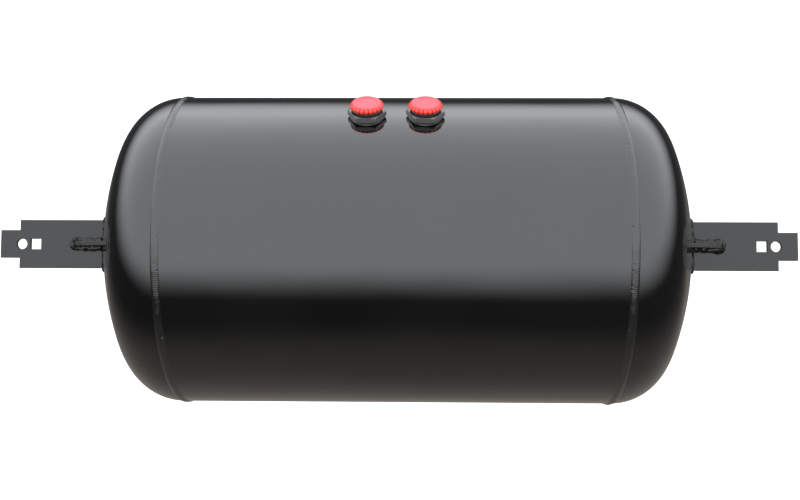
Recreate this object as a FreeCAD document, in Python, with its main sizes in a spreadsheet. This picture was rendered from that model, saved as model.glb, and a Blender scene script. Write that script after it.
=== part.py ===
import FreeCAD, Part
import math
import os
import Sketcher

# Air receiver tank: a welded steel drum with dished heads, three plugged ports and two flat
# end brackets. Millimetres. X runs along the tank, +Z points up through the two inlet ports,
# and the origin is on the tank axis at mid-length.

sizes = [
    # drum
    ("tank_radius", 198, "outside radius of the shell and heads"),
    ("tank_length", 743, "pole to pole over the two heads"),
    ("wall", 3, "steel thickness of shell and heads"),
    ("crown_radius", 380, "outside radius of the head's crown"),
    ("knuckle_radius", 70, "outside radius of the head's knuckle"),
    ("pole_flat", 1, "radius of the tiny flat at each pole, which keeps outlines off the axis"),
    ("head_flange", 0.8, "straight length of the head outside the shell"),
    ("skirt_length", 14, "joggled skirt of the head that sits inside the shell"),
    ("skirt_gap", 0.1, "radial gap between skirt and shell"),
    ("groove_width", 6, "gap between shell end and head shoulder, filled by the weld"),
    ("girth_bead_width", 10, "width of the girth weld cap"),
    ("girth_bead_height", 1.8, "height of the girth weld cap over the shell"),
    ("seam_bead_width", 8, "width of the long seam weld cap"),
    ("seam_bead_height", 1.2, "height of the long seam weld cap"),
    ("seam_angle", 120, "place of the long seam round the axis, from +Z towards +Y"),
    # ports
    ("port_spacing", 70, "distance between the two inlet ports"),
    ("boss_radius", 19.3, "outside radius of the welded boss"),
    ("boss_rise", 1.5, "height of the boss over the shell"),
    ("boss_depth", 10, "length of the boss below the shell's outer surface"),
    ("boss_bore_radius", 15, "bore that takes the bush"),
    ("boss_chamfer", 0.3, "chamfer on the boss rim"),
    ("boss_weld_leg", 1.2, "leg of the fillet weld round the boss"),
    ("hex_flats", 41, "across flats of the bush"),
    ("hex_height", 7.7, "thickness of the bush's hexagon"),
    ("hex_chamfer_angle", 30, "slope of the chamfers on the hexagon"),
    ("hex_land_radius", 20.7, "radius of the flat faces left by the chamfers"),
    ("bush_shank_gap", 0.05, "radial gap between bush shank and boss bore"),
    ("bush_shank_length", 13, "length of the bush's shank inside the boss"),
    ("collar_radius", 16.6, "radius of the collar on top of the hexagon"),
    ("collar_height", 2.2, "height of that collar"),
    ("bush_bore_radius", 10.19, "minor radius of the M22 x 1.5 port thread"),
    ("thread_pitch", 1.5, "pitch of the port thread"),
    ("plug_gap", 0.05, "radial gap between plug shank and port thread"),
    ("plug_shank_length", 11, "length of the plug shank under its head"),
    ("plug_shank_wall", 2.4, "wall of the hollow shank"),
    ("plug_thread_depth", 0.7, "depth of the ring grooves that stand for the thread"),
    ("plug_head_radius", 20.2, "radius over the castellated rim"),
    ("plug_top_radius", 16.8, "radius of the head's top"),
    ("plug_head_height", 5.6, "height of the head"),
    ("plug_rim_height", 2.4, "height of the straight part of the rim"),
    ("plug_dish_depth", 0.6, "depth of the dish in the head's top"),
    ("plug_dish_radius", 14, "radius of that dish"),
    ("plug_top_wall", 2, "thickness of the head over the hollow shank"),
    ("plug_notches", 22, "number of notches in the rim"),
    ("plug_notch_width", 1.9, "width of one notch"),
    ("plug_notch_depth", 1.6, "radial depth of one notch"),
    ("seal_thickness", 2, "thickness of the sealing ring"),
    ("seal_radius", 15.8, "outside radius of the sealing ring"),
    ("seal_hole_radius", 11.4, "inside radius of the sealing ring"),
    ("seal_chamfer", 0.4, "chamfer on the sealing ring's outer edges"),
    ("left_bush_angle", -3, "how far the left bush has stopped past square"),
    ("right_bush_angle", -6, "the same for the right bush"),
    # brackets
    ("overall_length", 983, "tip to tip over the two brackets"),
    ("bracket_angle", 50, "tilt of the bracket's normal from +Z towards -Y"),
    ("bracket_offset", 84, "tank axis to the bracket's outer face"),
    ("bracket_width", 60, "width of the bracket"),
    ("bracket_thickness", 5, "thickness of the bracket"),
    ("bracket_root", 25, "length of bracket hidden under the head's outline"),
    ("tab_length", 24, "length of the narrow tab"),
    ("tab_width", 34.5, "width of the tab"),
    ("bolt_radius", 6.5, "radius of the round hole"),
    ("bolt_inset", 26.5, "tip to the round hole's centre"),
    ("square_side", 13, "side of the square hole"),
    ("square_inset", 43.8, "tip to the square hole's centre"),
    ("root_bead", 4, "size of the weld where the bracket meets the head"),
    ("gusset_length", 37, "length of the gusset along the bracket"),
    ("gusset_thickness", 6, "thickness of the gusset"),
    ("gusset_rise", 16, "height of the gusset at the head"),
    ("gusset_nose", 5, "height of the gusset at its outer end"),
    ("gusset_bead", 6, "leg of the weld along the gusset"),
]

doc = FreeCAD.newDocument("AirReceiverTank")
sheet = doc.addObject("Spreadsheet::Sheet", "Sizes")
for row, (alias, size, note) in enumerate(sizes, start=1):
    sheet.set("A%d" % row, note)
    sheet.set("B%d" % row, str(size))
    sheet.setAlias("B%d" % row, alias)
doc.recompute()

made = []


def value(expression):
    return float(sheet.evalExpression(expression))


def bind(thing, **expressions):
    for name, expression in expressions.items():
        thing.setExpression(name.replace("_at_", "."), expression)


def origin_plane(body, role):
    return next(f for f in body.Origin.OriginFeatures if f.Role == role)


def keep(thing, label):
    thing.Label = label
    made.append(thing)
    return thing


def pin(sketch, edge, end, along, expression):
    """Holds one end of an edge at a distance from the sketch's origin along one direction."""
    if abs(value(expression)) < 1e-9:
        axis_index = -2 if along == "DistanceX" else -1
        sketch.addConstraint(Sketcher.Constraint("PointOnObject", edge, end, axis_index))
        return
    index = sketch.addConstraint(
        Sketcher.Constraint(along, -1, 1, edge, end, value(expression)))
    sketch.setExpression("Constraints[%d]" % index, expression)


def outline(body, name, role, corners):
    """Closed outline through the corners. Each corner is (x, y) or (x, y, radius): a radius
    makes the edge that leaves the corner an arc, bulging to the left of its direction when
    the radius is written with a leading '+' and to the right with a leading '-'."""
    sketch = body.newObject("Sketcher::SketchObject", name)
    sketch.AttachmentSupport = [(origin_plane(body, role), "")]
    sketch.MapMode = "FlatFace"
    count = len(corners)
    points = [FreeCAD.Vector(value(c[0]), value(c[1]), 0) for c in corners]
    for i, corner in enumerate(corners):
        start, end = points[i], points[(i + 1) % count]
        if len(corner) == 2:
            sketch.addGeometry(Part.LineSegment(start, end))
            continue
        radius = value(corner[2][1:])
        chord = end.sub(start)
        rise = math.sqrt(radius ** 2 - (chord.Length / 2) ** 2)
        left = FreeCAD.Vector(-chord.y, chord.x, 0).normalize()
        bulges_left = corner[2].startswith("+")
        centre = (start + end) * 0.5 + left * (-rise if bulges_left else rise)
        circle = Part.Circle(centre, FreeCAD.Vector(0, 0, 1), radius)
        # an arc always runs anticlockwise, so one that bulges left runs end to start
        first, last = (end, start) if bulges_left else (start, end)
        first_angle = math.atan2(first.y - centre.y, first.x - centre.x)
        last_angle = math.atan2(last.y - centre.y, last.x - centre.x)
        sketch.addGeometry(Part.ArcOfCircle(circle, first_angle, last_angle))
    ends = [(2, 1) if len(corner) == 3 and corner[2].startswith("+") else (1, 2)
            for corner in corners]
    for i in range(count):
        following = (i + 1) % count
        sketch.addConstraint(
            Sketcher.Constraint("Coincident", i, ends[i][1], following, ends[following][0]))
    for i, corner in enumerate(corners):
        pin(sketch, i, ends[i][0], "DistanceX", corner[0])
        pin(sketch, i, ends[i][0], "DistanceY", corner[1])
        if len(corner) == 3:
            radius = corner[2][1:]
            index = sketch.addConstraint(Sketcher.Constraint("Radius", i, value(radius)))
            sketch.setExpression("Constraints[%d]" % index, radius)
    return sketch


def turned(name, role, axis, corners):
    """Body made by turning an outline through a full circle about a sketch axis."""
    body = doc.addObject("PartDesign::Body", name)
    sketch = outline(body, name + "_outline", role, corners)
    turn = body.newObject("PartDesign::Revolution", name + "_turn")
    turn.Profile = sketch
    turn.ReferenceAxis = (sketch, [axis])
    turn.Angle = 360
    return body


def turned_on_x(name, corners):
    return turned(name, "XY_Plane", "H_Axis", corners)


def turned_on_z(name, corners):
    return turned(name, "XZ_Plane", "V_Axis", corners)


def cylinder(name, radius, length, along_x=False, start="0"):
    thing = doc.addObject("Part::Cylinder", name)
    bind(thing, Radius=radius, Height=length)
    if along_x:
        thing.Placement.Rotation = FreeCAD.Rotation(FreeCAD.Vector(0, 1, 0), 90)
        bind(thing, Placement_at_Base_at_x=start)
    else:
        bind(thing, Placement_at_Base_at_z=start)
    return thing


def sphere(name, radius, centre_x):
    thing = doc.addObject("Part::Sphere", name)
    bind(thing, Radius=radius, Placement_at_Base_at_x=centre_x)
    return thing


def box(name, length, width, height, corner_x, corner_y, corner_z):
    thing = doc.addObject("Part::Box", name)
    bind(thing, Length=length, Width=width, Height=height, Placement_at_Base_at_x=corner_x,
         Placement_at_Base_at_y=corner_y, Placement_at_Base_at_z=corner_z)
    return thing


def cut(name, base, tool):
    thing = doc.addObject("Part::Cut", name)
    thing.Base = base
    thing.Tool = tool
    return thing


def joined(name, *pieces):
    thing = doc.addObject("Part::MultiFuse", name)
    thing.Shapes = list(pieces)
    return thing


def overlap(name, *pieces):
    thing = doc.addObject("Part::MultiCommon", name)
    thing.Shapes = list(pieces)
    return thing


def mirrored(name, source):
    thing = doc.addObject("Part::Mirroring", name)
    thing.Source = source
    thing.Normal = FreeCAD.Vector(1, 0, 0)
    return keep(thing, name)


# --- drum: shell, heads, girth welds and long seam ------------------------------------------

tangent = ("(Sizes.tank_length / 2 - Sizes.crown_radius"
           " + sqrt((Sizes.crown_radius - Sizes.knuckle_radius) ^ 2"
           " - (Sizes.tank_radius - Sizes.knuckle_radius) ^ 2))")
shoulder = "(%s - Sizes.head_flange)" % tangent
shell_end = "(%s - Sizes.groove_width)" % shoulder
weld_middle = "(%s - Sizes.groove_width / 2)" % shoulder
bore = "(Sizes.tank_radius - Sizes.wall)"
skirt_radius = "(%s - Sizes.skirt_gap)" % bore

# where crown and knuckle meet: on the line from the crown's centre through the knuckle's
crown_share = "(Sizes.crown_radius / (Sizes.crown_radius - Sizes.knuckle_radius))"
crown_centre = "(Sizes.tank_length / 2 - Sizes.crown_radius)"
join_x = "(%s + (%s - %s) * %s)" % (crown_centre, tangent, crown_centre, crown_share)
join_r = "((Sizes.tank_radius - Sizes.knuckle_radius) * %s)" % crown_share
inner_crown = "(Sizes.crown_radius - Sizes.wall)"
inner_knuckle = "(Sizes.knuckle_radius - Sizes.wall)"
inner_share = "(%s / (Sizes.crown_radius - Sizes.knuckle_radius))" % inner_crown
inner_join_x = "(%s + (%s - %s) * %s)" % (crown_centre, tangent, crown_centre, inner_share)
inner_join_r = "((Sizes.tank_radius - Sizes.knuckle_radius) * %s)" % inner_share


def head():
    skirt_tip = "(%s - Sizes.skirt_length)" % shell_end
    inner_pole = "(%s + sqrt(%s ^ 2 - Sizes.pole_flat ^ 2))" % (crown_centre, inner_crown)
    outer_pole = "(%s + sqrt(Sizes.crown_radius ^ 2 - Sizes.pole_flat ^ 2))" % crown_centre
    return turned_on_x("head_right", [
        (inner_pole, "0"),
        (outer_pole, "0"),
        (outer_pole, "Sizes.pole_flat", "-Sizes.crown_radius"),
        (join_x, join_r, "-Sizes.knuckle_radius"),
        (tangent, "Sizes.tank_radius"),
        (shoulder, "Sizes.tank_radius"),
        ("%s - Sizes.groove_width * 0.7" % shoulder, skirt_radius),
        (skirt_tip, skirt_radius),
        (skirt_tip, "%s - Sizes.wall" % skirt_radius),
        ("%s - Sizes.groove_width * 0.7" % shoulder, "%s - Sizes.wall" % skirt_radius),
        (tangent, bore, "+" + inner_knuckle),
        (inner_join_x, inner_join_r, "+" + inner_crown),
        (inner_pole, "Sizes.pole_flat"),
    ])


def girth_weld():
    half_cap = "Sizes.girth_bead_width / 2"
    slope_foot = "%s - Sizes.groove_width * 0.7" % shoulder
    cap_radius = ("((Sizes.girth_bead_width / 2) ^ 2 + Sizes.girth_bead_height ^ 2)"
                  " / (2 * Sizes.girth_bead_height)")
    return turned_on_x("girth_weld_right", [
        (shell_end, bore + " + 0.2"),
        (slope_foot, bore + " + 0.2"),
        (shoulder, "Sizes.tank_radius"),
        ("%s + %s" % (weld_middle, half_cap), "Sizes.tank_radius", "-(%s)" % cap_radius),
        ("%s - %s" % (weld_middle, half_cap), "Sizes.tank_radius"),
        (shell_end, "Sizes.tank_radius"),
    ])


head_right = keep(head(), "head_right")
girth_weld_right = keep(girth_weld(), "girth_weld_right")

solid_drum = cylinder("shell_outside", "Sizes.tank_radius", "2 * " + shell_end, True,
                      "-" + shell_end)
drum_bore = cylinder("shell_inside", bore, "2 * " + shell_end, True, "-" + shell_end)
port_places = {
    "left": "-Sizes.port_spacing / 2",
    "right": "Sizes.port_spacing / 2",
    "drain": "0",
}
port_holes = []
for port, place in port_places.items():
    hole = cylinder("shell_hole_" + port, "Sizes.boss_radius", "Sizes.tank_radius * 1.2")
    bind(hole, Placement_at_Base_at_x=place)
    if port == "drain":
        hole.Placement.Rotation = FreeCAD.Rotation(FreeCAD.Vector(1, 0, 0), 180)
    port_holes.append(hole)
hollow = joined("shell_hollow", drum_bore, *port_holes)
keep(cut("shell", solid_drum, hollow), "shell")
mirrored("head_left", head_right)
mirrored("girth_weld_left", girth_weld_right)

# the long seam is the part of a thin rod that stands proud of the shell
seam_rod_radius = ("(((Sizes.seam_bead_width / 2) ^ 2 + Sizes.seam_bead_height ^ 2)"
                   " / (2 * Sizes.seam_bead_height))")
seam_end = "(%s - Sizes.girth_bead_width / 2 - 1)" % weld_middle
seam_rod = cylinder("seam_rod", seam_rod_radius, "2 * " + seam_end, True, "-" + seam_end)
bind(seam_rod, Placement_at_Base_at_z="Sizes.tank_radius + Sizes.seam_bead_height - %s"
     % seam_rod_radius)
seam_back = cylinder("seam_back", "Sizes.tank_radius", "2 * " + shell_end, True,
                     "-" + shell_end)
long_seam = cut("seam_weld", seam_rod, seam_back)
long_seam.Placement.Rotation = FreeCAD.Rotation(FreeCAD.Vector(-1, 0, 0), 1)
bind(long_seam, Placement_at_Rotation_at_Angle="Sizes.seam_angle")
keep(long_seam, "seam_weld")

# --- ports: boss, fillet weld, hexagon bush, sealing ring and plug --------------------------

boss_top = "(Sizes.tank_radius + Sizes.boss_rise)"
hex_top = "(%s + Sizes.hex_height)" % boss_top
collar_top = "(%s + Sizes.collar_height)" % hex_top
seal_top = "(%s + Sizes.seal_thickness)" % collar_top
head_top = "(%s + Sizes.plug_head_height)" % seal_top


def place_port(thing, port, turn="0"):
    """Moves a port piece from the tank's middle to its place; the drain hangs underneath."""
    bind(thing, Placement_at_Base_at_x=port_places[port])
    if port == "drain":
        thing.Placement.Rotation = FreeCAD.Rotation(FreeCAD.Vector(1, 0, 0), 180)
    elif turn != "0":
        thing.Placement.Rotation = FreeCAD.Rotation(FreeCAD.Vector(0, 0, 1), 1)
        bind(thing, Placement_at_Rotation_at_Angle=turn)


def boss(port):
    foot = "(Sizes.tank_radius - Sizes.boss_depth)"
    return turned_on_z("boss_" + port, [
        ("Sizes.boss_bore_radius", foot),
        ("Sizes.boss_radius", foot),
        ("Sizes.boss_radius", "%s - Sizes.boss_chamfer" % boss_top),
        ("Sizes.boss_radius - Sizes.boss_chamfer", boss_top),
        ("Sizes.boss_bore_radius", boss_top),
    ])


def boss_weld(port):
    crest = "Sizes.tank_radius + Sizes.boss_weld_leg"
    root = "Sizes.tank_radius - Sizes.boss_weld_leg"
    ring = turned_on_z("boss_weld_ring_" + port, [
        ("Sizes.boss_radius", root),
        ("Sizes.boss_radius + 2 * Sizes.boss_weld_leg", root),
        ("Sizes.boss_radius + Sizes.boss_weld_leg * 0.2", crest),
        ("Sizes.boss_radius", crest),
    ])
    drum = cylinder("boss_weld_back_" + port, "Sizes.tank_radius", "Sizes.tank_length / 2",
                    True, "-Sizes.tank_length / 4")
    return cut("boss_weld_" + port, ring, drum)


def bush(port):
    hexagon = doc.addObject("Part::Prism", "bush_hexagon_" + port)
    hexagon.Polygon = 6
    bind(hexagon, Circumradius="Sizes.hex_flats / sqrt(3)", Height="Sizes.hex_height",
         Placement_at_Base_at_z=boss_top)
    reach = "(Sizes.hex_flats * 0.6)"
    drop = "((%s - Sizes.hex_land_radius) * tan(Sizes.hex_chamfer_angle))" % reach
    spool = turned_on_z("bush_spool_" + port, [
        ("0", boss_top),
        ("Sizes.hex_land_radius", boss_top),
        (reach, "%s + %s" % (boss_top, drop)),
        (reach, "%s - %s" % (hex_top, drop)),
        ("Sizes.hex_land_radius", hex_top),
        ("0", hex_top),
    ])
    nut = overlap("bush_nut_" + port, hexagon, spool)
    collar = cylinder("bush_collar_" + port, "Sizes.collar_radius", "Sizes.collar_height",
                      start=hex_top)
    shank = cylinder("bush_shank_" + port, "Sizes.boss_bore_radius - Sizes.bush_shank_gap",
                     "Sizes.bush_shank_length",
                     start="%s - Sizes.bush_shank_length" % boss_top)
    blank = joined("bush_blank_" + port, nut, collar, shank)
    hole = cylinder("bush_hole_" + port, "Sizes.bush_bore_radius", "Sizes.tank_radius",
                    start="%s / 2" % boss_top)
    return cut("bush_" + port, blank, hole)


def seal(port):
    edge = "Sizes.seal_chamfer"
    return turned_on_z("seal_" + port, [
        ("Sizes.seal_hole_radius", collar_top),
        ("Sizes.seal_radius - " + edge, collar_top),
        ("Sizes.seal_radius", "%s + %s" % (collar_top, edge)),
        ("Sizes.seal_radius", "%s - %s" % (seal_top, edge)),
        ("Sizes.seal_radius - " + edge, seal_top),
        ("Sizes.seal_hole_radius", seal_top),
    ])


def plug(port):
    shank = "(Sizes.bush_bore_radius - Sizes.plug_gap)"
    hollow_radius = "(%s - Sizes.plug_shank_wall)" % shank
    foot = "(%s - Sizes.plug_shank_length)" % seal_top
    floor = "(%s - Sizes.plug_top_wall)" % head_top
    corners = [
        ("0", floor),
        (hollow_radius, floor),
        (hollow_radius, foot),
        ("%s - Sizes.plug_thread_depth" % shank, foot),
        (shank, "%s + Sizes.plug_thread_depth" % foot),
    ]
    turns = int(value("floor((Sizes.plug_shank_length - 3) / Sizes.thread_pitch)"))
    for turn in range(1, turns + 1):
        middle = "%s + %d * Sizes.thread_pitch + 0.9" % (foot, turn)
        corners.append((shank, "%s - 0.6" % middle))
        corners.append(("%s - Sizes.plug_thread_depth" % shank, middle))
        corners.append((shank, "%s + 0.6" % middle))
    corners += [
        (shank, seal_top),
        ("Sizes.plug_head_radius", seal_top),
        ("Sizes.plug_head_radius", "%s + Sizes.plug_rim_height" % seal_top),
        ("Sizes.plug_top_radius", head_top),
        ("Sizes.plug_dish_radius", head_top),
        ("Sizes.plug_dish_radius - 1", "%s - Sizes.plug_dish_depth" % head_top),
        ("0", "%s - Sizes.plug_dish_depth" % head_top),
    ]
    body = turned_on_z("plug_" + port, corners)
    inner = "Sizes.plug_head_radius - Sizes.plug_notch_depth"
    outer = "Sizes.plug_head_radius + 1"
    half = "Sizes.plug_notch_width / 2"
    notch = outline(body, "plug_notch_outline_" + port, "XY_Plane", [
        (inner, "-" + half),
        (outer, "-" + half),
        (outer, half),
        (inner, half),
    ])
    pocket = body.newObject("PartDesign::Pocket", "plug_notch_" + port)
    pocket.Profile = notch
    pocket.Type = 1
    pocket.Reversed = True
    pattern = body.newObject("PartDesign::PolarPattern", "plug_notches_" + port)
    pattern.Originals = [pocket]
    pattern.Axis = (notch, ["N_Axis"])
    pattern.Angle = 360
    bind(pattern, Occurrences="Sizes.plug_notches")
    body.Tip = pattern
    return body


for port in port_places:
    turn = "Sizes.%s_bush_angle" % port if port != "drain" else "0"
    for make, name, piece_turn in (
            (boss, "boss_", "0"),
            (boss_weld, "boss_weld_", "0"),
            (bush, "bush_", turn),
            (seal, "seal_", "0"),
            (plug, "plug_", "0")):
        piece = keep(make(port), name + port)
        place_port(piece, port, piece_turn)

# --- brackets: plate, root weld, gusset and gusset weld -------------------------------------
# drawn flat, with the plate's outer face at bracket_offset over the tank axis, then tilted


def tilt(thing):
    thing.Placement.Rotation = FreeCAD.Rotation(FreeCAD.Vector(1, 0, 0), 1)
    bind(thing, Placement_at_Rotation_at_Angle="Sizes.bracket_angle")
    return thing


tip = "(Sizes.overall_length / 2)"
face = "Sizes.bracket_offset"
back = "(Sizes.bracket_offset - Sizes.bracket_thickness)"
# along the axis, where the bracket's outer face meets the crown
foot_x = "(%s + sqrt(Sizes.crown_radius ^ 2 - Sizes.bracket_offset ^ 2))" % crown_centre
root_x = "(%s - Sizes.bracket_root)" % foot_x


def plate_blank(name):
    wide = box(name + "_wide", "%s - Sizes.tab_length - %s" % (tip, root_x),
               "Sizes.bracket_width", "Sizes.bracket_thickness",
               root_x, "-Sizes.bracket_width / 2", back)
    narrow = box(name + "_tab", "%s - %s" % (tip, root_x), "Sizes.tab_width",
                 "Sizes.bracket_thickness", root_x, "-Sizes.tab_width / 2", back)
    return joined(name, wide, narrow)


def bracket():
    bolt_hole = cylinder("bolt_hole", "Sizes.bolt_radius", "3 * Sizes.bracket_thickness",
                         start="%s - Sizes.bracket_thickness" % back)
    bind(bolt_hole, Placement_at_Base_at_x="%s - Sizes.bolt_inset" % tip)
    square_hole = box("square_hole", "Sizes.square_side", "Sizes.square_side",
                      "3 * Sizes.bracket_thickness",
                      "%s - Sizes.square_inset - Sizes.square_side / 2" % tip,
                      "-Sizes.square_side / 2", "%s - Sizes.bracket_thickness" % back)
    crown = sphere("bracket_crown", "Sizes.crown_radius", crown_centre)
    away = joined("bracket_away", bolt_hole, square_hole, crown)
    return cut("bracket_right", plate_blank("bracket_blank"), away)


def bracket_weld():
    grown = box("root_bead_block", "Sizes.bracket_root + 3 * Sizes.root_bead",
                "Sizes.bracket_width + 2 * Sizes.root_bead",
                "Sizes.bracket_thickness + 2 * Sizes.root_bead",
                root_x, "-Sizes.bracket_width / 2 - Sizes.root_bead",
                "%s - Sizes.root_bead" % back)
    rounded = doc.addObject("Part::Chamfer", "root_bead_rounded")
    rounded.Base = grown
    doc.recompute()
    corner_edges = [i + 1 for i, edge in enumerate(grown.Shape.Edges)
                    if abs(edge.tangentAt(edge.FirstParameter).x) > 0.9]
    rounded.Edges = [(i, value("Sizes.root_bead * 0.6"), value("Sizes.root_bead * 0.6"))
                     for i in corner_edges]
    outer = sphere("root_bead_outer", "Sizes.crown_radius + Sizes.root_bead * 0.8",
                   crown_centre)
    near = overlap("root_bead_near", rounded, outer)
    crown = sphere("root_bead_crown", "Sizes.crown_radius", crown_centre)
    away = joined("root_bead_away", crown, plate_blank("root_bead_plate"),
                  gusset_prism("root_bead_gusset"))
    return cut("bracket_weld_right", near, away)


def gusset_prism(name):
    """Tapered rib standing on the plate, still reaching inside the head."""
    body = doc.addObject("PartDesign::Body", name)
    end_x = "(%s + Sizes.gusset_length)" % foot_x
    sketch = outline(body, name + "_side", "XZ_Plane", [
        (root_x, face),
        (end_x, face),
        (end_x, "%s + Sizes.gusset_nose" % face),
        (foot_x, "%s + Sizes.gusset_rise" % face),
        (root_x, "%s + Sizes.gusset_rise" % face),
    ])
    pad = body.newObject("PartDesign::Pad", name + "_pad")
    pad.Profile = sketch
    pad.Midplane = True
    bind(pad, Length="Sizes.gusset_thickness")
    return body


def gusset():
    crown = sphere("gusset_crown", "Sizes.crown_radius", crown_centre)
    return cut("gusset_right", gusset_prism("gusset_blank"), crown)


def gusset_weld():
    body = doc.addObject("PartDesign::Body", "gusset_bead_block")
    half = "(Sizes.gusset_thickness / 2)"
    # the block starts clear of the root weld and wraps the gusset's nose
    start_x = "(%s + Sizes.root_bead)" % foot_x
    end_x = "(%s + Sizes.gusset_length + Sizes.gusset_bead)" % foot_x
    sketch = outline(body, "gusset_bead_side", "XZ_Plane", [
        (start_x, face),
        (end_x, face),
        ("%s - Sizes.gusset_bead * 0.7" % end_x, "%s + Sizes.gusset_bead * 0.8" % face),
        (start_x, "%s + Sizes.gusset_bead * 0.8" % face),
    ])
    pad = body.newObject("PartDesign::Pad", "gusset_bead_pad")
    pad.Profile = sketch
    pad.Midplane = True
    bind(pad, Length="2 * (%s + Sizes.gusset_bead)" % half)
    doc.recompute()
    top_z = value("%s + Sizes.gusset_bead * 0.8" % face)
    long_edges = []
    for i, edge in enumerate(pad.Shape.Edges):
        level = all(abs(v.Point.z - top_z) < 1e-6 for v in edge.Vertexes)
        along = abs(edge.tangentAt(edge.FirstParameter).x) > 0.9
        if level and along:
            long_edges.append("Edge%d" % (i + 1))
    slope = body.newObject("PartDesign::Chamfer", "gusset_bead_slope")
    slope.Base = (pad, long_edges)
    bind(slope, Size="Sizes.gusset_bead * 0.6")
    body.Tip = slope
    return cut("gusset_weld_right", body, gusset_prism("gusset_bead_core"))


for make, name in (
        (bracket, "bracket"),
        (bracket_weld, "bracket_weld"),
        (gusset, "gusset"),
        (gusset_weld, "gusset_weld")):
    right = keep(tilt(make()), name + "_right")
    mirrored(name + "_left", right)

# --- check and write ------------------------------------------------------------------------

doc.recompute()
for thing in doc.Objects:
    if "Invalid" in thing.State or "Error" in thing.State:
        raise RuntimeError("%s did not recompute: %s" % (thing.Name, thing.State))

os.makedirs("parts", exist_ok=True)
for piece in made:
    shape = piece.Shape
    if shape.isNull() or not shape.isValid() or len(shape.Solids) != 1:
        raise RuntimeError("%s is not one sound solid" % piece.Label)
    shape.exportStep("parts/%s.step" % piece.Label)
    print("%-20s %10.1f mm3" % (piece.Label, shape.Volume))
print("%d pieces written" % len(made))
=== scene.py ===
import math

import bmesh
import bpy
from mathutils import Matrix, Vector, noise


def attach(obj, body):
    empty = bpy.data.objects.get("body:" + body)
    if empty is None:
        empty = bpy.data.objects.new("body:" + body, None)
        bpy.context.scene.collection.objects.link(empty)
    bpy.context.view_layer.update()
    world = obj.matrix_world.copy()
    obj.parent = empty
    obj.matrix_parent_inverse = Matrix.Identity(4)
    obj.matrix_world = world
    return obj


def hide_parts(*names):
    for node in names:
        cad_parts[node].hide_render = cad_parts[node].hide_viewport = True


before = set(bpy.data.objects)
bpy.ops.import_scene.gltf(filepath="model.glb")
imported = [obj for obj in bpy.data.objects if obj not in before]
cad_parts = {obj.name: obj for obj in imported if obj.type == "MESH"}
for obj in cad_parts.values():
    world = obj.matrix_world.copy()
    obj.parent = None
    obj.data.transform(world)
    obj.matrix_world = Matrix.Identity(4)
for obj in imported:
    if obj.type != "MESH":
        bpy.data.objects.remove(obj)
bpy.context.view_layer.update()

print("frame loaded")
scene = bpy.context.scene
scene.view_settings.view_transform = "Standard"
scene.view_settings.look = "None"

tank = {"radius": 0.198, "halfLength": 0.3715, "wall": 0.003, "crown": 0.380, "knuckle": 0.070}


def newMaterial(name):
    mat = bpy.data.materials.new(name)
    mat.use_nodes = True
    tree = mat.node_tree
    tree.nodes.clear()
    out = tree.nodes.new("ShaderNodeOutputMaterial")
    bsdf = tree.nodes.new("ShaderNodeBsdfPrincipled")
    tree.links.new(bsdf.outputs["BSDF"], out.inputs["Surface"])
    coord = tree.nodes.new("ShaderNodeTexCoord")
    return mat, tree, bsdf, coord.outputs["Object"]


def noiseNode(tree, coord, scale, detail=3.0, rough=0.5, stretch=None):
    if stretch:
        mapping = tree.nodes.new("ShaderNodeMapping")
        mapping.inputs["Scale"].default_value = stretch
        tree.links.new(coord, mapping.inputs["Vector"])
        coord = mapping.outputs["Vector"]
    node = tree.nodes.new("ShaderNodeTexNoise")
    node.inputs["Scale"].default_value = scale
    node.inputs["Detail"].default_value = detail
    node.inputs["Roughness"].default_value = rough
    tree.links.new(coord, node.inputs["Vector"])
    return node.outputs["Fac"]


def rampNode(tree, fac, stops):
    # stops: (position, colour) pairs; a lone number makes a grey
    node = tree.nodes.new("ShaderNodeValToRGB")
    ramp = node.color_ramp
    while len(ramp.elements) < len(stops):
        ramp.elements.new(0.5)
    for element, (place, colour) in zip(ramp.elements, stops):
        element.position = place
        if not isinstance(colour, tuple):
            colour = (colour, colour, colour)
        element.color = (*colour, 1.0)
    tree.links.new(fac, node.inputs["Fac"])
    return node.outputs["Color"]


def bumpNode(tree, height, strength, distance, under=None):
    node = tree.nodes.new("ShaderNodeBump")
    node.inputs["Strength"].default_value = strength
    node.inputs["Distance"].default_value = distance
    tree.links.new(height, node.inputs["Height"])
    if under:
        tree.links.new(under, node.inputs["Normal"])
    return node.outputs["Normal"]


def mixColour(tree, fac, a, b):
    node = tree.nodes.new("ShaderNodeMix")
    node.data_type = "RGBA"
    for socket, value in (("Factor", fac), ("A", a), ("B", b)):
        target = [s for s in node.inputs if s.name == socket and s.enabled][0]
        if isinstance(value, (int, float)):
            target.default_value = value
        elif isinstance(value, tuple):
            target.default_value = (*value, 1.0)
        else:
            tree.links.new(value, target)
    return [s for s in node.outputs if s.name == "Result" and s.enabled][0]


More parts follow.
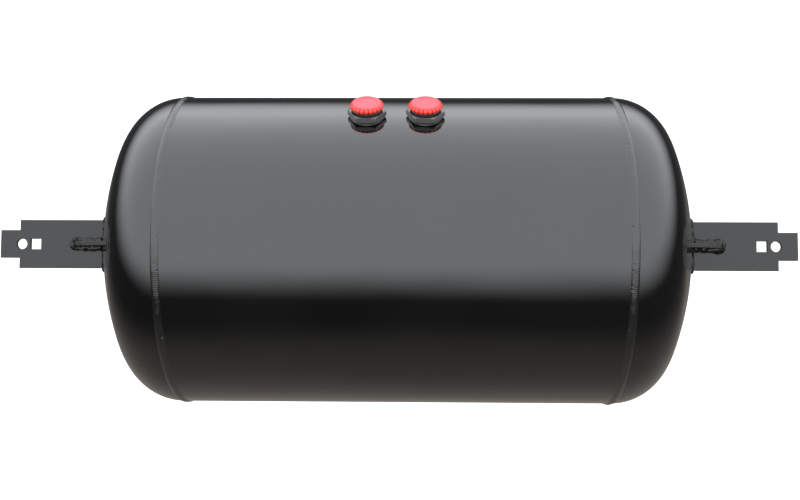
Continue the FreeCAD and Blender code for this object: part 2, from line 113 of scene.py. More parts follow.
def makePaint(name, look):
    mat, tree, bsdf, coord = newMaterial(name)
    link = tree.links.new
    patches = noiseNode(tree, coord, 9.0, 4.0, 0.55)
    specks = noiseNode(tree, coord, 900.0, 2.0, 0.6)
    dust = rampNode(tree, specks, [(0.66, 0.0), (0.74, 1.0)])
    base = rampNode(tree, patches, [(0.3, look["dark"]), (0.7, look["light"])])
    link(mixColour(tree, dust, base, look["dust"]), bsdf.inputs["Base Color"])
    link(rampNode(tree, patches, [(0.3, look["rough"][0]), (0.7, look["rough"][1])]),
         bsdf.inputs["Roughness"])
    bsdf.inputs["Specular IOR Level"].default_value = look["specular"]
    bsdf.inputs["Coat Weight"].default_value = look["coat"]
    bsdf.inputs["Coat Roughness"].default_value = look["coatRough"]
    bsdf.inputs["Coat IOR"].default_value = 1.5
    # rolled sheet is never quite true, and sprayed paint has a fine peel
    waves = noiseNode(tree, coord, 1.0, 1.0, 0.4, look["waveScale"])
    peel = noiseNode(tree, coord, look["peelScale"], 2.0, 0.5)
    normal = bumpNode(tree, waves, 1.0, look["waves"])
    normal = bumpNode(tree, peel, 1.0, look["peel"], normal)
    if look["grain"]:
        grain = noiseNode(tree, coord, 1600.0, 3.0, 0.6)
        normal = bumpNode(tree, grain, 1.0, look["grain"], normal)
    link(normal, bsdf.inputs["Normal"])
    link(normal, bsdf.inputs["Coat Normal"])
    return mat


glossPaint = makePaint("glossPaint", {
    "dark": (0.0016, 0.0016, 0.0018), "light": (0.0032, 0.0032, 0.0033),
    "dust": (0.02, 0.02, 0.018),
    "rough": (0.09, 0.13), "specular": 0.5, "coat": 1.0, "coatRough": 0.05,
    "waveScale": (6.0, 14.0, 14.0), "waves": 0.0012, "peelScale": 420.0, "peel": 0.000006,
    "grain": 0.0})
weldPaint = makePaint("weldPaint", {
    "dark": (0.004, 0.004, 0.004), "light": (0.009, 0.009, 0.009), "dust": (0.04, 0.04, 0.038),
    "rough": (0.16, 0.26), "specular": 0.5, "coat": 1.0, "coatRough": 0.08,
    "waveScale": (60.0, 60.0, 60.0), "waves": 0.0004, "peelScale": 500.0, "peel": 0.00002,
    "grain": 0.00001})
roughWeld = makePaint("roughWeld", {
    "dark": (0.002, 0.002, 0.0022), "light": (0.006, 0.006, 0.006), "dust": (0.05, 0.05, 0.048),
    "rough": (0.12, 0.2), "specular": 0.3, "coat": 0.3, "coatRough": 0.05,
    "waveScale": (160.0, 160.0, 160.0), "waves": 0.0009, "peelScale": 520.0, "peel": 0.00025,
    "grain": 0.00002})
satinPaint = makePaint("satinPaint", {
    "dark": (0.006, 0.006, 0.0064), "light": (0.010, 0.010, 0.0104), "dust": (0.035, 0.035, 0.033),
    "rough": (0.30, 0.40), "specular": 0.5, "coat": 0.22, "coatRough": 0.18,
    "waveScale": (20.0, 20.0, 20.0), "waves": 0.0003, "peelScale": 700.0, "peel": 0.00001,
    "grain": 0.000012})
bushPaint = makePaint("bushPaint", {
    "dark": (0.062, 0.062, 0.065), "light": (0.105, 0.105, 0.108), "dust": (0.14, 0.14, 0.137),
    "rough": (0.24, 0.36), "specular": 0.5, "coat": 0.35, "coatRough": 0.12,
    "waveScale": (70.0, 70.0, 70.0), "waves": 0.0003, "peelScale": 600.0, "peel": 0.00002,
    "grain": 0.00001})


def makePlastic(name):
    mat, tree, bsdf, coord = newMaterial(name)
    link = tree.links.new
    cloud = noiseNode(tree, coord, 60.0, 3.0, 0.5)
    body = rampNode(tree, cloud, [(0.3, (0.72, 0.030, 0.010)), (0.7, (0.84, 0.052, 0.018))])
    # painted sheen colour for the faces turned up or down
    paintedSheenRed = rampNode(tree, cloud, [(0.3, (0.72, 0.060, 0.085)), (0.7, (0.82, 0.085, 0.120))])
    # painted sheen: faces turned up or down take a pinker red that stands for light caught on
    # them, the sides keep the full red
    facing = tree.nodes.new("ShaderNodeNewGeometry")
    parts = tree.nodes.new("ShaderNodeSeparateXYZ")
    link(facing.outputs["Normal"], parts.inputs["Vector"])
    upright = tree.nodes.new("ShaderNodeMath")
    upright.operation = "ABSOLUTE"
    link(parts.outputs["Z"], upright.inputs[0])
    flat = rampNode(tree, upright.outputs[0], [(0.55, 0.0), (0.92, 1.0)])
    link(mixColour(tree, flat, body, paintedSheenRed), bsdf.inputs["Base Color"])
    link(rampNode(tree, cloud, [(0.3, 0.20), (0.7, 0.30)]), bsdf.inputs["Roughness"])
    bsdf.inputs["Subsurface Weight"].default_value = 0.25
    bsdf.inputs["Subsurface Radius"].default_value = (0.003, 0.0006, 0.0004)
    bsdf.inputs["Subsurface Scale"].default_value = 1.0
    fine = noiseNode(tree, coord, 1500.0, 3.0, 0.55)
    link(bumpNode(tree, fine, 1.0, 0.00001), bsdf.inputs["Normal"])
    return mat


def makeRubber(name):
    mat, tree, bsdf, coord = newMaterial(name)
    link = tree.links.new
    cloud = noiseNode(tree, coord, 80.0, 4.0, 0.6)
    link(rampNode(tree, cloud, [(0.3, (0.006, 0.006, 0.006)), (0.7, (0.016, 0.016, 0.015))]),
         bsdf.inputs["Base Color"])
    link(rampNode(tree, cloud, [(0.3, 0.55), (0.7, 0.75)]), bsdf.inputs["Roughness"])
    fine = noiseNode(tree, coord, 2500.0, 2.0, 0.6)
    link(bumpNode(tree, fine, 1.0, 0.00002), bsdf.inputs["Normal"])
    return mat


redPlastic = makePlastic("redPlastic")
rubber = makeRubber("rubber")
print("materials made")


def finishPiece(name, bm, mat, sharp=35.0, smooth=True):
    bmesh.ops.remove_doubles(bm, verts=bm.verts, dist=1e-6)
    bmesh.ops.recalc_face_normals(bm, faces=bm.faces)
    mesh = bpy.data.meshes.new(name)
    bm.to_mesh(mesh)
    bm.free()
    for poly in mesh.polygons:
        poly.use_smooth = smooth
    if smooth:
        mesh.set_sharp_from_angle(angle=math.radians(sharp))
    mesh.materials.append(mat)
    piece = bpy.data.objects.new(name, mesh)
    scene.collection.objects.link(piece)
    return piece


def spinProfile(bm, points, axis, steps):
    # turns a closed outline of (along, out) points through a full circle
    if axis == "X":
        verts = [bm.verts.new((a, 0.0, r)) for a, r in points]
        line = (1, 0, 0)
    else:
        verts = [bm.verts.new((r, 0.0, a)) for a, r in points]
        line = (0, 0, 1)
    edges = [bm.edges.new((a, b)) for a, b in zip(verts, verts[1:] + verts[:1])]
    bmesh.ops.spin(bm, geom=verts + edges, cent=(0, 0, 0), axis=line, dvec=(0, 0, 0),
                   angle=2 * math.pi, steps=steps, use_merge=True, use_duplicate=False)
    bmesh.ops.remove_doubles(bm, verts=bm.verts, dist=1e-6)


def skin(bm, rings, around=True):
    # joins neighbouring rings of points with faces; each ring is a closed loop
    pairs = list(zip(rings, rings[1:])) + ([(rings[-1], rings[0])] if around else [])
    for a, b in pairs:
        for j in range(len(a)):
            k = (j + 1) % len(a)
            bm.faces.new((a[j], a[k], b[k], b[j]))
    if not around:
        bm.faces.new(rings[0])
        bm.faces.new(list(reversed(rings[-1])))


def spread(a, b, count):
    return [a + (b - a) * i / count for i in range(count)]


def cutBy(piece, cutters):
    # carves the cutters out of the piece and throws them away
    for cutter in cutters:
        mod = piece.modifiers.new("cut", "BOOLEAN")
        mod.operation = "DIFFERENCE"
        mod.solver = "EXACT"
        mod.object = cutter
    bpy.context.view_layer.update()
    shaped = piece.evaluated_get(bpy.context.evaluated_depsgraph_get())
    mesh = bpy.data.meshes.new_from_object(shaped)
    old = piece.data
    piece.modifiers.clear()
    piece.data = mesh
    bpy.data.meshes.remove(old)
    for cutter in cutters:
        bpy.data.objects.remove(cutter)
    mesh.set_sharp_from_angle(angle=math.radians(35))


def rounded(piece, width):
    mod = piece.modifiers.new("edges", "BEVEL")
    mod.width = width
    mod.segments = 3
    mod.limit_method = "ANGLE"
    mod.angle_limit = math.radians(30)


def turnedPoint(x, out, angle):
    # angle runs round the tank from +Z towards +Y
    return (x, out * math.sin(angle), out * math.cos(angle))


portPlaces = {"left": (-0.035, 1), "right": (0.035, 1), "drain": (0.0, -1)}


def portMatrix(port, turn=0.0):
    x, up = portPlaces[port]
    flip = Matrix.Rotation(math.pi, 4, "X") if up < 0 else Matrix.Identity(4)
    return Matrix.Translation((x, 0, 0)) @ flip @ Matrix.Rotation(math.radians(turn), 4, "Z")


# where the knuckle meets the straight part, and the weld next to it
tangentX = (tank["halfLength"] - tank["crown"]
            + math.sqrt((tank["crown"] - tank["knuckle"]) ** 2
                        - (tank["radius"] - tank["knuckle"]) ** 2))
shoulderX = tangentX - 0.0008
weldX = shoulderX - 0.003
shellX = shoulderX - 0.006

shell = {"steps": 320, "fine": 0.07, "fineCount": 36, "coarseCount": 24, "holeRadius": 0.0193}


def makeShell():
    outer, inner = tank["radius"], tank["radius"] - tank["wall"]
    xs = (spread(-shellX, -shell["fine"], shell["coarseCount"])
          + spread(-shell["fine"], shell["fine"], shell["fineCount"])
          + spread(shell["fine"], shellX, shell["coarseCount"]) + [shellX])
    bm = bmesh.new()
    spinProfile(bm, [(x, outer) for x in xs] + [(x, inner) for x in reversed(xs)], "X",
                shell["steps"])
    piece = finishPiece("shellSkin", bm, glossPaint)
    cutters = []
    for port in portPlaces:
        cutter = bmesh.new()
        bmesh.ops.create_cone(cutter, cap_ends=True, segments=96, radius1=shell["holeRadius"],
                              radius2=shell["holeRadius"], depth=0.06,
                              matrix=portMatrix(port) @ Matrix.Translation((0, 0, 0.2)))
        cutters.append(finishPiece("cutter", cutter, glossPaint))
    cutBy(piece, cutters)
    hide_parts("shell")
    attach(piece, "tank")


def arcPoints(centreX, centreR, radius, start, end, count):
    # angles from the axis towards the rim
    return [(centreX + radius * math.cos(start + (end - start) * i / count),
             centreR + radius * math.sin(start + (end - start) * i / count))
            for i in range(count + 1)]


def headProfile():
    wall = tank["wall"]
    crownX = tank["halfLength"] - tank["crown"]
    kneeR = tank["radius"] - tank["knuckle"]
    kneeAngle = math.atan2(kneeR, tangentX - crownX)
    outer = (arcPoints(crownX, 0, tank["crown"], 0.0, kneeAngle, 48)
             + arcPoints(tangentX, kneeR, tank["knuckle"], kneeAngle, math.pi / 2, 40)[1:])
    skirtR = tank["radius"] - wall - 0.0001
    lip = shoulderX - 0.0042
    outer += [(shoulderX, tank["radius"]), (lip, skirtR), (shellX - 0.014, skirtR)]
    inner = [(shellX - 0.014, skirtR - wall), (lip, skirtR - wall)]
    inner += list(reversed(
        arcPoints(tangentX, kneeR, tank["knuckle"] - wall, kneeAngle, math.pi / 2, 20)))
    inner += list(reversed(
        arcPoints(crownX, 0, tank["crown"] - wall, 0.0, kneeAngle, 24)))[1:]
    return outer + inner


def makeHead(side, sign):
    bm = bmesh.new()
    spinProfile(bm, [(x, max(r, 0.0)) for x, r in headProfile()], "X", 320)
    if sign < 0:
        bmesh.ops.scale(bm, vec=(-1, 1, 1), verts=bm.verts)
    piece = finishPiece("headSkin_" + side, bm, glossPaint)
    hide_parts("head_" + side)
    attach(piece, "tank")


makeShell()
makeHead("left", -1)
makeHead("right", 1)
print("drum made")

# girth welds: a low cap with ripples, and a fine undercut line on each side
girth = {"half": 0.0048, "height": 0.0016, "steps": 2400, "rippleEvery": 0.0021,
         "ripple": 0.00009, "wander": 0.0004, "across": 14, "pore": 0.0022, "poreFrom": 0.30}


def makeGirthWeld(side, sign):
    bm = bmesh.new()
    steps, across = girth["steps"], girth["across"]
    ringLength = 2 * math.pi * tank["radius"]
    rings = []
    for i in range(steps):
        angle = 2 * math.pi * i / steps
        along = ringLength * i / steps
        here = Vector((math.cos(angle), math.sin(angle), sign * 3.0))
        shift = girth["wander"] * noise.noise(here * 9.0)
        swell = 1.0 + 0.18 * noise.noise(here * 16.0 + Vector((5, 1, 2)))
        pore = max(0.0, noise.noise(here * 60.0 + Vector((0, 3, 7))) - girth["poreFrom"])
        ring = []
        for j in range(across + 1):
            u = -1 + 2 * j / across
            cap = girth["height"] * swell * (1 - u * u) ** 0.7
            # ripples trail back in a shallow crescent
            phase = along / girth["rippleEvery"] + 0.7 * u * u
            cap += girth["ripple"] * math.sin(2 * math.pi * phase) * (1 - u * u) ** 0.5
            cap += 0.00010 * noise.noise(here * 150.0 + Vector((u, 0, 0))) * (1 - u * u)
            # shallow pores along the edge towards the middle of the drum
            near = max(0.0, 1 - ((u + 0.6) / 0.38) ** 2)
            cap = max(0.3 * cap, cap - girth["pore"] * pore * near * near)
            x = weldX + shift + u * girth["half"]
            ring.append(bm.verts.new(turnedPoint(sign * x, tank["radius"] - 0.00005 + cap,
                                                 angle)))
        foot = [bm.verts.new(turnedPoint(sign * (weldX + u * 0.0028),
                                         tank["radius"] - 0.0026, angle)) for u in (1, -1)]
        rings.append(ring + foot)
    skin(bm, rings)
    piece = finishPiece("girthBead_" + side, bm, weldPaint, sharp=60)
    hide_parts("girth_weld_" + side)
    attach(piece, "tank")


makeGirthWeld("left", -1)
makeGirthWeld("right", 1)

seam = {"half": 0.004, "height": 0.0011, "angle": 120.0, "step": 0.0006, "across": 10}


def makeSeam():
    bm = bmesh.new()
    end = weldX - 0.006
    count = int(2 * end / seam["step"])
    middle = math.radians(seam["angle"])
    rows = []
    for i in range(count + 1):
        x = -end + 2 * end * i / count
        fade = min(1.0, min(i, count - i) / 12.0)
        row = []
        for j in range(seam["across"] + 1):
            u = -1 + 2 * j / seam["across"]
            cap = seam["height"] * (1 - u * u) ** 0.7 * (0.85 + 0.15 * fade)
            cap *= 1.0 + 0.2 * noise.noise(Vector((x * 90, u, 4.0)))
            cap += 0.00007 * math.sin(2 * math.pi * (x / 0.0019 + 0.6 * u * u)) * (1 - u * u)
            angle = middle + (u * seam["half"]) / tank["radius"]
            row.append(bm.verts.new(turnedPoint(x, tank["radius"] - 0.00003 + cap * fade,
                                                angle)))
        for u in (1, -1):
            angle = middle + (u * seam["half"] * 0.7) / tank["radius"]
            row.append(bm.verts.new(turnedPoint(x, tank["radius"] - 0.0008, angle)))
        rows.append(row)
    skin(bm, rows, around=False)
    piece = finishPiece("seamBead", bm, weldPaint, sharp=60)
    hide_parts("seam_weld")
    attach(piece, "tank")


makeSeam()
print("drum welds made")

# heights along each port's axis and radii about it
bossBead = {"steps": 480, "across": 10, "leg": 0.0012}
boss = {"outer": 0.0193, "bore": 0.015, "foot": 0.188, "top": 0.1995, "edge": 0.0003}
bush = {"flats": 0.041, "bottom": 0.1995, "top": 0.2072, "land": 0.0207, "slope": 30.0,
        "collar": 0.0166, "collarTop": 0.2094, "shank": 0.01495, "foot": 0.1865,
        "bore": 0.01019, "cornerRound": 0.0003, "collarRound": 0.0004, "edge": 0.00025,
        "steps": 360,
        "turn": {"left": -3.0, "right": -6.0, "drain": 0.0}}
seal = {"inner": 0.0114, "outer": 0.0158, "bottom": 0.2094, "top": 0.2114, "round": 0.0006}
plug = {"bottom": 0.2114, "top": 0.2170, "rim": 0.0202, "rimTop": 0.2138, "crown": 0.0168,
        "dish": 0.0140, "dishDepth": 0.0006, "teeth": 22, "notch": 0.0016,
        "shank": 0.01014, "hollow": 0.00774, "foot": 0.2004, "pitch": 0.0015,
        "thread": 0.0007, "steps": 528}


def placed(bm, port, turn=0.0):
    bmesh.ops.transform(bm, matrix=portMatrix(port, turn), verts=bm.verts)


def makeBoss(port):
    e = boss["edge"]
    outline = [(boss["foot"], boss["bore"]), (boss["foot"], boss["outer"])]
    outline += [(boss["top"] - e, boss["outer"]), (boss["top"] - 0.3 * e, boss["outer"] - 0.3 * e),
                (boss["top"], boss["outer"] - e), (boss["top"], boss["bore"])]
    bm = bmesh.new()
    spinProfile(bm, outline, "Z", 128)
    placed(bm, port)
    piece = finishPiece("bossTurned_" + port, bm, glossPaint)
    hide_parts("boss_" + port)
    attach(piece, "tank")


def makeBossBead(port):
    # a fillet that follows the saddle where the boss meets the shell
    bm = bmesh.new()
    steps, across, leg = bossBead["steps"], bossBead["across"], bossBead["leg"]
    rings = []
    for i in range(steps):
        angle = 2 * math.pi * i / steps
        c, s = math.cos(angle), math.sin(angle)
        here = Vector((c, s, portPlaces[port][0] * 40))
        grow = 1.0 + 0.16 * noise.noise(here * 3.0)
        ripple = 0.00005 * math.sin(62 * angle)
        ring = []
        for j in range(across + 1):
            t = j / across
            out = leg * grow * (1 - t)
            lift = leg * grow * t
            belly = 0.22 * leg * math.sin(math.pi * t) + ripple * math.sin(math.pi * t)
            r = boss["outer"] + out + 0.7 * belly
            y = r * s
            saddle = math.sqrt(tank["radius"] ** 2 - y * y)
            ring.append(bm.verts.new((r * c, y, saddle - 0.00004 + lift + 0.7 * belly)))
        r = boss["outer"] - 0.0001
        saddle = math.sqrt(tank["radius"] ** 2 - (r * s) ** 2)
        ring.append(bm.verts.new((r * c, r * s, saddle + leg * grow - 0.0001)))
        ring.append(bm.verts.new((r * c, r * s, saddle - 0.0008)))
        rings.append(ring)
    skin(bm, rings)
    placed(bm, port)
    piece = finishPiece("bossBead_" + port, bm, weldPaint, sharp=60)
    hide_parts("boss_weld_" + port)
    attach(piece, "tank")


def makeBush(port):
    # one closed section per step: round shank, chamfered hexagon, collar and bore
    d = bush
    apothem = d["flats"] / 2
    corner = d["flats"] / math.sqrt(3)
    slope = math.tan(math.radians(d["slope"]))
    c, e = d["collarRound"], d["edge"]
    bm = bmesh.new()
    rings = []
    for i in range(d["steps"]):
        angle = 2 * math.pi * i / d["steps"]
        # flats face the front and the back
        off = (angle + math.pi / 6) % (math.pi / 3) - math.pi / 6
        side = min(apothem / math.cos(off), corner - d["cornerRound"])
        land = min(d["land"], side - 0.0003)
        drop = max(0.0, side - land) * slope
        section = [(d["bore"], d["foot"]), (d["shank"] - 0.001, d["foot"]),
                   (d["shank"], d["foot"] + 0.001), (d["shank"], d["bottom"]),
                   (land - e, d["bottom"]), (land, d["bottom"] + 0.3 * e),
                   (side - 0.3 * e, d["bottom"] + drop), (side, d["bottom"] + drop + e),
                   (side, d["top"] - drop - e), (side - 0.3 * e, d["top"] - drop),
                   (land, d["top"] - 0.3 * e), (land - e, d["top"]), (d["collar"], d["top"]),
                   (d["collar"], d["collarTop"] - c),
                   (d["collar"] - 0.3 * c, d["collarTop"] - 0.3 * c),
                   (d["collar"] - c, d["collarTop"]), (d["bore"], d["collarTop"])]
        # drawn from +Y round, so that the middle of a flat comes first
        rings.append([bm.verts.new((r * math.sin(angle), r * math.cos(angle), z))
                      for r, z in section])
    skin(bm, rings)
    placed(bm, port, d["turn"][port])
    piece = finishPiece("bushHex_" + port, bm, bushPaint, sharp=22)
    # painted shade: the collar and the top face round it take the near-black weld paint for the
    # shade under the plug's head, the flats keep the lighter grey paint
    piece.data.materials.append(weldPaint)
    for poly in piece.data.polygons:
        if abs(poly.center.z) > d["top"] - 0.0001:
            poly.material_index = 1
    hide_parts("bush_" + port)
    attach(piece, "tank")


def makeSeal(port):
    q = seal["round"]
    bm = bmesh.new()
    spinProfile(bm, [(seal["bottom"], seal["inner"]), (seal["bottom"], seal["outer"] - q),
                     (seal["bottom"] + 0.3 * q, seal["outer"] - 0.3 * q),
                     (seal["bottom"] + q, seal["outer"]), (seal["top"] - q, seal["outer"]),
                     (seal["top"] - 0.3 * q, seal["outer"] - 0.3 * q),
                     (seal["top"], seal["outer"] - q), (seal["top"], seal["inner"])], "Z", 96)
    placed(bm, port)
    piece = finishPiece("sealRing_" + port, bm, rubber)
    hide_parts("seal_" + port)
    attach(piece, "ring_" + port)


def makePlug(port):
    d, rim, top = plug, plug["rim"], plug["top"]
    outline = [(top - 0.002, 0.0), (top - 0.002, d["hollow"]), (d["foot"], d["hollow"]),
               (d["foot"], d["shank"] - d["thread"]), (d["foot"] + d["thread"], d["shank"])]
    turns = 5
    for turn in range(1, turns + 1):
        middle = d["foot"] + turn * d["pitch"] + 0.0009
        outline += [(middle - 0.0006, d["shank"]), (middle, d["shank"] - d["thread"]),
                    (middle + 0.0006, d["shank"])]
    outline += [(d["bottom"], d["shank"]), (d["bottom"], rim - 0.0005)]
    outline += [(d["bottom"] + 0.0002, rim - 0.0001), (d["bottom"] + 0.0006, rim)]
    outline += [(z, rim) for z in spread(d["bottom"] + 0.0010, d["rimTop"], 5)]
    lean = 8
    for i in range(lean + 1):
        t = i / lean
        outline.append((d["rimTop"] + (top - 0.0004 - d["rimTop"]) * t,
                        rim + (d["crown"] + 0.0002 - rim) * t ** 1.15))
    outline += [(top - 0.0001, d["crown"] - 0.0002), (top, d["crown"] - 0.0007),
                (top, d["dish"] + 0.0004), (top - 0.0001, d["dish"]),
                (top - d["dishDepth"] + 0.0001, d["dish"] - 0.0008),
                (top - d["dishDepth"], d["dish"] - 0.0013), (top - d["dishDepth"], 0.006),
                (top - d["dishDepth"] - 0.0001, 0.0)]
    rimLow, rimHigh = d["bottom"] - 0.00001, top - 0.0002
    bm = bmesh.new()
    spinProfile(bm, outline, "Z", d["steps"])
    # the rim's teeth: rounded lands with narrow rounded notches between them
    for v in bm.verts:
        r = math.hypot(v.co.x, v.co.y)
        if r < d["crown"] - 0.0004 or not rimLow < v.co.z < rimHigh:
            continue
        angle = math.atan2(v.co.y, v.co.x)
        phase = (angle * d["teeth"] / (2 * math.pi)) % 1.0
        away = abs(phase - 0.5) * 2
        dip = max(0.0, (away - 0.62) / 0.38)
        dip = dip * dip * (3 - 2 * dip)
        swell = 0.00025 * (1 - away * away)
        depth = d["notch"] * min(1.0, (rimHigh - v.co.z) / 0.0014)
        k = (r - depth * dip + (swell - 0.00025) * (1 if dip < 1 else 0)) / r
        v.co.x *= k
        v.co.y *= k
    placed(bm, port)
    piece = finishPiece("plugMoulded_" + port, bm, redPlastic, sharp=50)
    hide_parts("plug_" + port)
    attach(piece, "cap_" + port)


for port in portPlaces:
    makeBoss(port)
    makeBossBead(port)
    makeBush(port)
    makeSeal(port)
    makePlug(port)
print("ports made")

# brackets, drawn flat with their outer face up and then tilted towards the front
bracket = {"tip": 0.4915, "root": 0.3602, "width": 0.060, "thick": 0.005, "face": 0.084,
           "tab": 0.024, "tabWidth": 0.0345, "bolt": 0.0065, "boltInset": 0.0265,
           "square": 0.013, "squareInset": 0.0438, "tilt": 50.0}


def bracketMatrix(sign):
    side = Matrix.Scale(-1, 4, (1, 0, 0)) if sign < 0 else Matrix.Identity(4)
    return side @ Matrix.Rotation(math.radians(bracket["tilt"]), 4, "X")


def makeBracket(side, sign):
    b = bracket
    hw, tw = b["width"] / 2, b["tabWidth"] / 2
    step = b["tip"] - b["tab"]
    corners = [(b["root"], -hw), (step, -hw), (step, -tw), (b["tip"], -tw), (b["tip"], tw),
               (step, tw), (step, hw), (b["root"], hw)]
    bm = bmesh.new()
    face = bm.faces.new([bm.verts.new((x, y, b["face"] - b["thick"])) for x, y in corners])
    raised = bmesh.ops.extrude_face_region(bm, geom=[face])
    moved = [g for g in raised["geom"] if isinstance(g, bmesh.types.BMVert)]
    bmesh.ops.translate(bm, vec=(0, 0, b["thick"]), verts=moved)
    piece = finishPiece("bracketPlate_" + side, bm, satinPaint, smooth=False)
    round_ = bmesh.new()
    bmesh.ops.create_cone(round_, cap_ends=True, segments=64, radius1=b["bolt"],
                          radius2=b["bolt"], depth=0.03,
                          matrix=Matrix.Translation((b["tip"] - b["boltInset"], 0, b["face"])))
    square = bmesh.new()
    bmesh.ops.create_cube(square, size=b["square"],
                          matrix=Matrix.Translation((b["tip"] - b["squareInset"], 0, b["face"])))
    cutBy(piece, [finishPiece("cutter", round_, satinPaint),
                  finishPiece("cutter", square, satinPaint)])
    bm = bmesh.new()
    bm.from_mesh(piece.data)
    bmesh.ops.transform(bm, matrix=bracketMatrix(sign), verts=bm.verts)
    old = piece.data
    bpy.data.objects.remove(piece)
    bpy.data.meshes.remove(old)
    piece = finishPiece("bracketPlate_" + side, bm, satinPaint, sharp=30)
    rounded(piece, 0.0004)
    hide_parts("bracket_" + side)
    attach(piece, "tank")


for side, sign in (("left", -1), ("right", 1)):
    makeBracket(side, sign)


def crownX(y, z):
    return tank["halfLength"] - tank["crown"] + math.sqrt(tank["crown"] ** 2 - y * y - z * z)


def lumps(place, seed, amount):
    # hand-laid weld: slow swelling, then lumps, then grit
    here = place + Vector((seed, seed * 0.37, 0))
    return 1.0 + amount * (0.6 * noise.noise(here * 70.0) + 0.5 * noise.noise(here * 190.0)
                           + 0.22 * noise.noise(here * 520.0))


def finishWeld(name, bm, sign, node):
    bmesh.ops.transform(bm, matrix=bracketMatrix(sign), verts=bm.verts)
    piece = finishPiece(name, bm, roughWeld, sharp=80)
    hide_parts(node)
    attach(piece, "tank")


def beadSection(leg, across):
    # a full fillet from the foot (0) to the top (1): how far out and how far up
    shape = []
    for j in range(across + 1):
        t = j / across
        belly = 0.26 * leg * math.sin(math.pi * t)
        shape.append((leg * (1 - t) + 0.7 * belly, leg * 0.8 * t + 0.7 * belly, t))
    return shape


rootBead = {"leg": 0.0042, "step": 0.0004, "across": 12, "lump": 0.55, "ripple": 0.00022,
            "every": 0.0024}


def makeRootBead(side, sign):
    b, d = bracket, rootBead
    hw, ht, middle = b["width"] / 2, b["thick"] / 2, b["face"] - b["thick"] / 2
    corners = [(hw, ht), (-hw, ht), (-hw, -ht), (hw, -ht)]
    ways = [(0, 1), (-1, 0), (0, -1), (1, 0)]
    stops = []
    for i in range(4):
        (y0, z0), (y1, z1) = corners[i], corners[(i + 1) % 4]
        count = max(2, int(math.hypot(y1 - y0, z1 - z0) / d["step"]))
        stops += [(y0 + (y1 - y0) * k / count, z0 + (z1 - z0) * k / count, *ways[i])
                  for k in range(count + 1)]
        turn = math.atan2(ways[i][1], ways[i][0])
        stops += [(y1, z1, math.cos(turn + k * math.pi / 20), math.sin(turn + k * math.pi / 20))
                  for k in range(1, 10)]
    bm = bmesh.new()
    rings = []
    for i, (y, z, ny, nz) in enumerate(stops):
        ring = []
        for out, up, t in beadSection(d["leg"], d["across"]):
            spot = Vector((y + ny * out, z + nz * out, up))
            grow = lumps(spot, 3.0 * sign, d["lump"])
            ridge = d["ripple"] * math.sin(2 * math.pi * (i * d["step"] / d["every"] + t * t))
            reach = max(0.0, out * grow + ridge * math.sin(math.pi * t))
            py, pz = y + ny * reach, middle + z + nz * reach
            ring.append(bm.verts.new((crownX(py, pz) - 0.00006 + up * grow, py, pz)))
        py, pz = y - ny * 0.0004, middle + z - nz * 0.0004
        ring.append(bm.verts.new((crownX(py, pz) + d["leg"] * 0.7, py, pz)))
        ring.append(bm.verts.new((crownX(py, pz) - 0.0010, py, pz)))
        rings.append(ring)
    skin(bm, rings)
    finishWeld("rootBead_" + side, bm, sign, "bracket_weld_" + side)


gusset = {"length": 0.037, "thick": 0.006, "rise": 0.016, "nose": 0.005, "round": 0.0009}
gussetBead = {"leg": 0.0060, "step": 0.00035, "across": 12, "lump": 0.62, "ripple": 0.0003,
              "every": 0.0027}


def makeGusset(side, sign):
    g, face = gusset, bracket["face"]
    foot = crownX(0, face)
    low, high = face - 0.0004, face + g["rise"]
    inner = [(crownX(0, low + (high - low) * i / 8) - 0.0012, low + (high - low) * i / 8)
             for i in range(9)]
    outer = [(foot + 0.002, high), (foot + g["length"] - 0.003, face + g["nose"] + 0.0012),
             (foot + g["length"], face + g["nose"] - 0.001), (foot + g["length"], low)]
    bm = bmesh.new()
    flat = bm.faces.new([bm.verts.new((x, -g["thick"] / 2, z)) for x, z in inner + outer])
    raised = bmesh.ops.extrude_face_region(bm, geom=[flat])
    moved = [v for v in raised["geom"] if isinstance(v, bmesh.types.BMVert)]
    bmesh.ops.translate(bm, vec=(0, g["thick"], 0), verts=moved)
    bmesh.ops.transform(bm, matrix=bracketMatrix(sign), verts=bm.verts)
    piece = finishPiece("gussetRib_" + side, bm, roughWeld, sharp=30)
    rounded(piece, g["round"])
    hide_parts("gusset_" + side)
    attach(piece, "tank")


def makeGussetBead(side, sign):
    # runs out along one side of the gusset, round its nose and back
    g, d, face = gusset, gussetBead, bracket["face"]
    start = crownX(0, face) + 0.0030
    end = crownX(0, face) + g["length"]
    half = g["thick"] / 2
    count = int((end - start) / d["step"])
    stops = [(start + (end - start) * k / count, half, 0, 1) for k in range(count + 1)]
    stops += [(end, half - half * k / 4, math.sin(k * math.pi / 8), math.cos(k * math.pi / 8))
              for k in range(1, 5)]
    back = [(x, -y, nx, -ny) for x, y, nx, ny in reversed(stops[:-1])]
    bm = bmesh.new()
    rings = []
    for i, (x, y, nx, ny) in enumerate(stops + back):
        ring = []
        for out, up, t in beadSection(d["leg"], d["across"]):
            spot = Vector((x + nx * out, y + ny * out, up))
            grow = lumps(spot, 7.0 * sign, d["lump"])
            ridge = d["ripple"] * math.sin(2 * math.pi * (i * d["step"] / d["every"] + t * t))
            reach = max(0.0, out * grow * 0.92 + ridge * math.sin(math.pi * t))
            ring.append(bm.verts.new((x + nx * reach, y + ny * reach,
                                      face - 0.00006 + up * grow * 0.95)))
        ring.append(bm.verts.new((x - nx * 0.0003, y - ny * 0.0003, face + 0.0030)))
        ring.append(bm.verts.new((x - nx * 0.0003, y - ny * 0.0003, face - 0.0004)))
        rings.append(ring)
    skin(bm, rings, around=False)
    finishWeld("gussetBead_" + side, bm, sign, "gusset_weld_" + side)


for side, sign in (("left", -1), ("right", 1)):
    makeRootBead(side, sign)
    makeGusset(side, sign)
    makeGussetBead(side, sign)
print("brackets made")

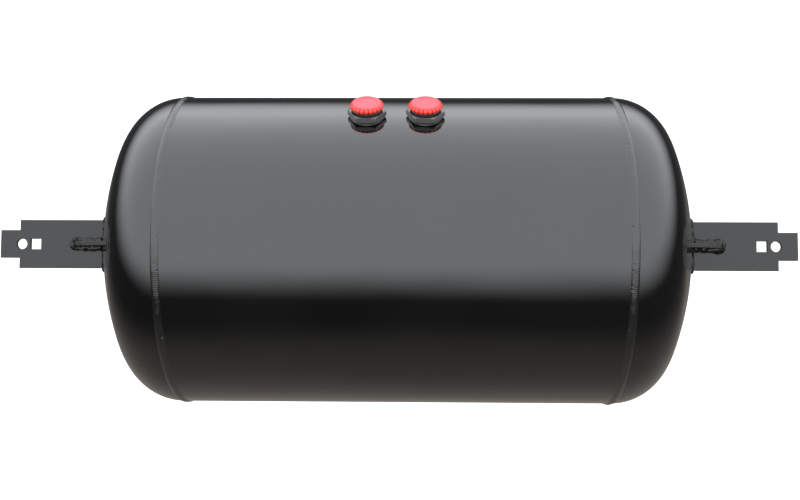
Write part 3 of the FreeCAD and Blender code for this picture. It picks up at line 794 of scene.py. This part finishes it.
floorSize, floorLevel = 30.0, -0.75
bm = bmesh.new()
bmesh.ops.create_grid(bm, x_segments=8, y_segments=8, size=floorSize / 2)
bmesh.ops.translate(bm, vec=(0, 0, floorLevel), verts=bm.verts)
paleMat, paleTree, paleShader, paleCoord = newMaterial("paleFloor")
paleTree.links.new(rampNode(paleTree, noiseNode(paleTree, paleCoord, 3.0),
                            [(0.3, (0.90, 0.90, 0.895)), (0.7, (0.94, 0.94, 0.935))]),
                   paleShader.inputs["Base Color"])
paleShader.inputs["Roughness"].default_value = 0.9
floor = finishPiece("floor", bm, paleMat)
floor.visible_glossy = False


# one broad soft light overhead; angles are in degrees above the floor
studio = {"darkBelow": -2.0, "brightAbove": 28.0, "floorFrom": -15.0, "floorTo": -50.0,
          "strength": 1.9}


def makeWorld():
    world = bpy.data.worlds.new("studio")
    scene.world = world
    world.use_nodes = True
    tree = world.node_tree
    tree.nodes.clear()
    link = tree.links.new
    out = tree.nodes.new("ShaderNodeOutputWorld")
    back = tree.nodes.new("ShaderNodeBackground")
    link(back.outputs["Background"], out.inputs["Surface"])
    parts = tree.nodes.new("ShaderNodeSeparateXYZ")
    link(tree.nodes.new("ShaderNodeTexCoord").outputs["Generated"], parts.inputs["Vector"])

    def between(low, high):
        # eases from 0 to 1 between two heights over the floor
        node = tree.nodes.new("ShaderNodeMapRange")
        node.interpolation_type = "SMOOTHSTEP"
        link(parts.outputs["Z"], node.inputs["Value"])
        node.inputs["From Min"].default_value = math.sin(math.radians(low))
        node.inputs["From Max"].default_value = math.sin(math.radians(high))
        return node.outputs["Result"]

    low = mixColour(tree, between(studio["floorFrom"], studio["floorTo"]),
                    (0.026, 0.026, 0.028), (0.12, 0.11, 0.10))
    link(mixColour(tree, between(studio["darkBelow"], studio["brightAbove"]), low,
                   (0.96, 0.98, 1.0)), back.inputs["Color"])
    back.inputs["Strength"].default_value = studio["strength"]


makeWorld()

view = {"distance": 1.330, "azimuth": 1.4, "elevation": 36.0, "roll": -0.6, "focal": 45.5,
        "slide": 0.0028}


def makeCamera():
    az, el, roll = (math.radians(view[k]) for k in ("azimuth", "elevation", "roll"))
    back = Vector((math.sin(az) * math.cos(el), -math.cos(az) * math.cos(el), math.sin(el)))
    right = Vector((math.cos(az), math.sin(az), 0))
    up = back.cross(right)
    tiltedRight = right * math.cos(roll) + up * math.sin(roll)
    tiltedUp = up * math.cos(roll) - right * math.sin(roll)
    data = bpy.data.cameras.new("camera")
    data.lens = view["focal"]
    data.sensor_width = 36.0
    data.clip_start = 0.05
    camera = bpy.data.objects.new("camera", data)
    camera.matrix_world = Matrix((
        (tiltedRight.x, tiltedUp.x, back.x, 0), (tiltedRight.y, tiltedUp.y, back.y, 0),
        (tiltedRight.z, tiltedUp.z, back.z, 0), (0, 0, 0, 1)))
    camera.location = back * view["distance"] + tiltedRight * view["slide"]
    scene.collection.objects.link(camera)
    scene.camera = camera


makeCamera()
print("stage made")
